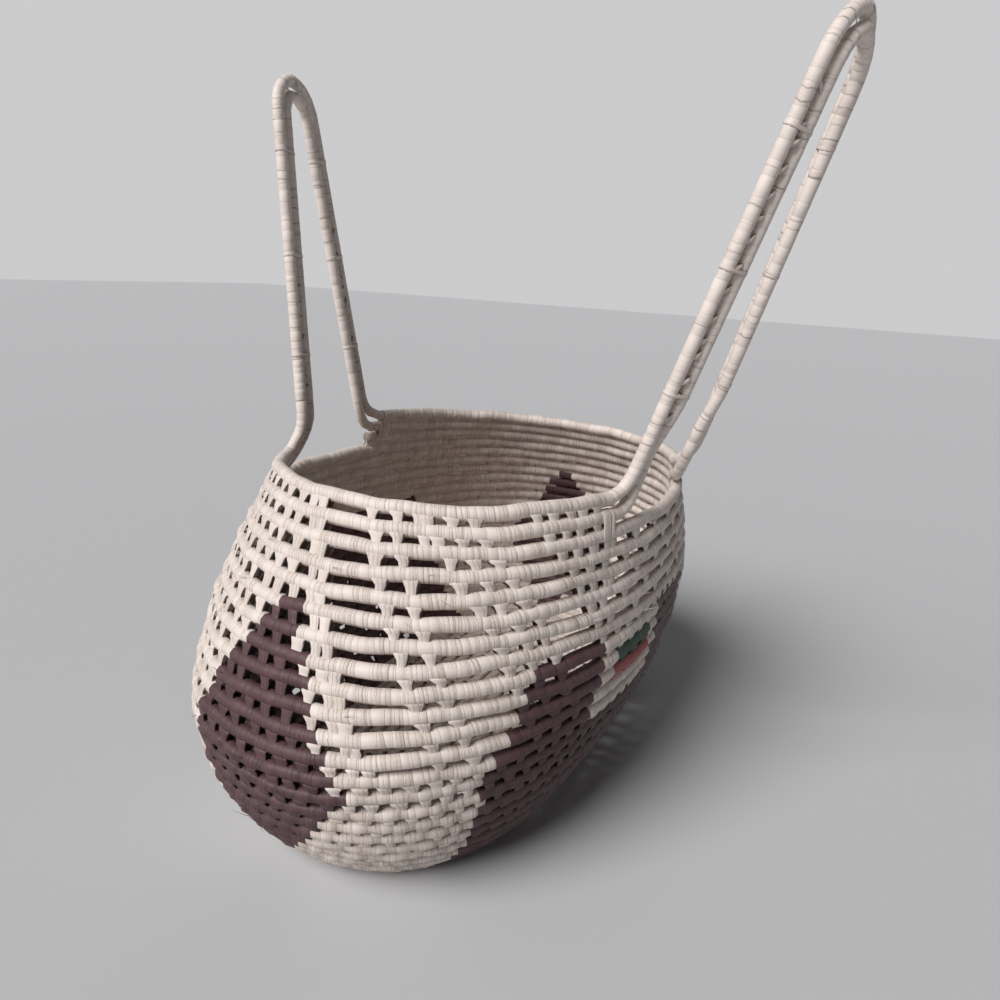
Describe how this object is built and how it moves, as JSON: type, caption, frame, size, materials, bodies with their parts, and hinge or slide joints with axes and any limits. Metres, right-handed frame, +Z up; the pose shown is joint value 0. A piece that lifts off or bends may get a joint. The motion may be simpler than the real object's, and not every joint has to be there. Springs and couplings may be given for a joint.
{
  "type": "coiled raffia basket",
  "caption": "Oval coiled raffia basket with a bulging openwork wall and two tall two-strand loop handles that lean out from the rim.",
  "frame": {"origin": "on the floor under the middle of the base, on the lower flat of the straight core of the base coil", "axes": "+X along the length of the basket, +Y to the side of the left handle, +Z up"},
  "size_m": [0.5319, 0.4274, 0.5692],
  "materials": {
    "raffia_coil": "satin",
    "raffia_strip": "satin"
  },
  "bodies": {
    "basket": {"base_coil": "raffia_coil", "lower_wall_coil": "raffia_coil", "upper_wall_coil": "raffia_coil", "near_end_rim_round": "raffia_coil", "far_end_rim_round": "raffia_coil", "near_end_second_round": "raffia_coil", "far_end_second_round": "raffia_coil", "near_left_foot_lashing": "raffia_strip", "near_right_foot_lashing": "raffia_strip", "far_right_foot_lashing": "raffia_strip", "far_left_foot_lashing": "raffia_strip", "stitch_line_01": "raffia_strip", "stitch_line_02": "raffia_strip", "stitch_line_03": "raffia_strip", "stitch_line_04": "raffia_strip", "stitch_line_05": "raffia_strip", "stitch_line_06": "raffia_strip", "stitch_line_07": "raffia_strip", "stitch_line_08": "raffia_strip", "stitch_line_09": "raffia_strip", "stitch_line_10": "raffia_strip", "stitch_line_11": "raffia_strip", "stitch_line_12": "raffia_strip", "stitch_line_13": "raffia_strip", "stitch_line_14": "raffia_strip", "stitch_line_15": "raffia_strip", "stitch_line_16": "raffia_strip", "stitch_line_17": "raffia_strip", "stitch_line_18": "raffia_strip", "stitch_line_19": "raffia_strip", "stitch_line_20": "raffia_strip", "stitch_line_21": "raffia_strip", "stitch_line_22": "raffia_strip", "stitch_line_23": "raffia_strip", "stitch_line_24": "raffia_strip"},
    "left_handle": {"left_handle_outer_strand": "raffia_coil", "left_handle_inner_strand": "raffia_coil", "left_handle_tie_1": "raffia_strip", "left_handle_tie_2": "raffia_strip", "left_handle_tie_3": "raffia_strip", "left_handle_tie_4": "raffia_strip", "left_handle_tie_5": "raffia_strip", "left_handle_tie_6": "raffia_strip", "left_handle_tie_7": "raffia_strip"},
    "right_handle": {"right_handle_outer_strand": "raffia_coil", "right_handle_inner_strand": "raffia_coil", "right_handle_tie_1": "raffia_strip", "right_handle_tie_2": "raffia_strip", "right_handle_tie_3": "raffia_strip", "right_handle_tie_4": "raffia_strip", "right_handle_tie_5": "raffia_strip", "right_handle_tie_6": "raffia_strip", "right_handle_tie_7": "raffia_strip"}
  },
  "joints": [
    {"name": "left_handle_swing", "type": "hinge", "parent": "basket", "child": "left_handle", "pos_m": [-0.03889, 0.12042, 0.29014], "axis": [0.9782, 0.2074, 0], "range_deg": [-67, 38]},
    {"name": "right_handle_swing", "type": "hinge", "parent": "basket", "child": "right_handle", "pos_m": [-0.00341, -0.1661, 0.28845], "axis": [-0.9933, 0.1151, 0], "range_deg": [-58, 47]}
  ]
}
